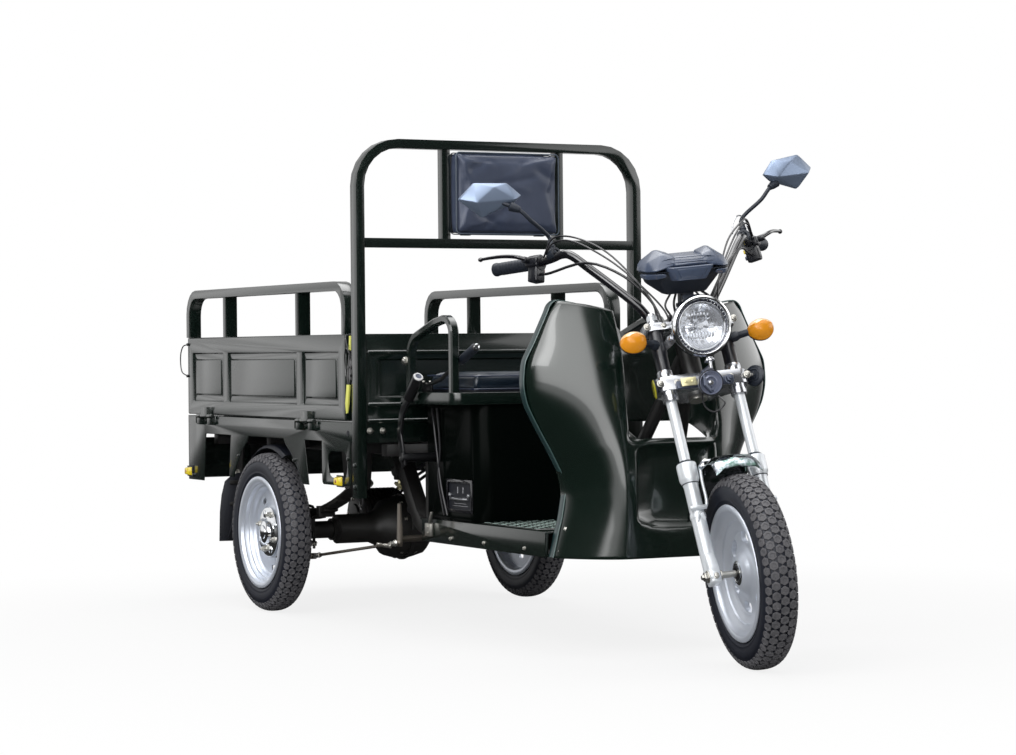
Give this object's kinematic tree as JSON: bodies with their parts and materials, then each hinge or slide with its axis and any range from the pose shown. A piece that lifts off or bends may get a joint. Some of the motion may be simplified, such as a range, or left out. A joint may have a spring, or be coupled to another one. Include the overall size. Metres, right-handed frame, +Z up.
{
  "type": "electric cargo tricycle",
  "caption": "Three-wheeled electric cargo vehicle: steered front fork and wheel, leg shield, driver's seat and an open bed with drop gates.",
  "frame": {"origin": "middle of the whole vehicle's bounding box, on the ground", "axes": "front towards -Y, the vehicle's right side towards -X, +Z up"},
  "size_m": [0.9594, 2.9007, 1.355],
  "materials": {
    "paint": "gloss dark green enamel",
    "underframe": "satin black",
    "guard": "matt black",
    "spring": "oiled spring steel",
    "tyre": "matt rubber",
    "rubber": "matt",
    "rim": "silver",
    "alloy": "satin silver",
    "chrome": "mirror",
    "steel": "satin black",
    "plastic": "gloss black",
    "vinyl": "navy leatherette",
    "amber_lens": "clear amber",
    "red_lens": "clear red"
  },
  "bodies": {
    "chassis": {"chassis_frame": "underframe", "floor_pan": "paint", "front_shield": "paint", "seat_box": "paint", "seat_plate": "paint", "armrest_right": "paint", "armrest_left": "paint", "hoop": "paint", "back_pad": "vinyl", "bed_beam_right": "paint", "bed_beam_left": "paint", "bed_floor": "paint", "bulkhead": "paint", "tail_plate": "paint", "leaf_spring_right": "spring", "leaf_spring_left": "spring", "rear_axle": "underframe", "drive_motor": "underframe", "rear_mudguard_right": "guard", "rear_mudguard_left": "guard", "tail_lamp_right": "red_lens", "tail_lamp_left": "red_lens", "parking_brake": "steel", "hand_brake": "steel", "brake_linkage": "steel", "brake_pedal": "steel"},
    "steering": {"fork_lower_clamp": "alloy", "fork_upper_clamp": "alloy", "fork_leg_right": "alloy", "fork_leg_left": "alloy", "front_mudguard": "chrome", "handlebar": "steel", "grip_right": "rubber", "grip_left": "rubber", "mirror_right": "plastic", "mirror_left": "plastic", "cable_right": "rubber", "cable_left": "rubber", "headlamp": "chrome", "signal_right": "amber_lens", "signal_left": "amber_lens", "horn": "plastic", "instrument_pod": "plastic"},
    "front_wheel": {"front_tyre": "tyre", "front_rim": "rim"},
    "rear_right_wheel": {"rear_right_tyre": "tyre", "rear_right_rim": "rim"},
    "rear_left_wheel": {"rear_left_tyre": "tyre", "rear_left_rim": "rim"},
    "right_gate": {"gate_right": "paint", "gate_rail_right": "paint"},
    "left_gate": {"gate_left": "paint", "gate_rail_left": "paint"},
    "tail_gate": {"tailgate": "paint"},
    "seat_lid": {"seat_cushion": "vinyl"}
  },
  "joints": [
    {"name": "steer", "type": "hinge", "parent": "chassis", "child": "steering", "pos_m": [0, -0.935, 0.7], "axis": [0, 0.4067, 0.9135], "range_deg": [-27, 53]},
    {"name": "front_spin", "type": "hinge", "parent": "steering", "child": "front_wheel", "pos_m": [-0.01417, -1.20952, 0.23433], "axis": [0.9744, -0.2055, 0.0915], "continuous": true},
    {"name": "rear_right_spin", "type": "hinge", "parent": "chassis", "child": "rear_right_wheel", "pos_m": [-0.425, 0.788, 0.235], "axis": [1, 0, 0], "continuous": true},
    {"name": "rear_left_spin", "type": "hinge", "parent": "chassis", "child": "rear_left_wheel", "pos_m": [0.425, 0.788, 0.235], "axis": [1, 0, 0], "continuous": true},
    {"name": "right_gate_drop", "type": "hinge", "parent": "chassis", "child": "right_gate", "pos_m": [-0.4525, 0.85, 0.572], "axis": [0, -1, 0], "range_deg": [0, 165]},
    {"name": "left_gate_drop", "type": "hinge", "parent": "chassis", "child": "left_gate", "pos_m": [0.4525, 0.85, 0.572], "axis": [0, 1, 0], "range_deg": [0, 165]},
    {"name": "tailgate_drop", "type": "hinge", "parent": "chassis", "child": "tail_gate", "pos_m": [0, 1.4505, 0.572], "axis": [-1, 0, 0], "range_deg": [0, 165]},
    {"name": "seat_lift", "type": "hinge", "parent": "chassis", "child": "seat_lid", "pos_m": [0, 0.043, 0.663], "axis": [-1, 0, 0], "range_deg": [0, 65]}
  ]
}
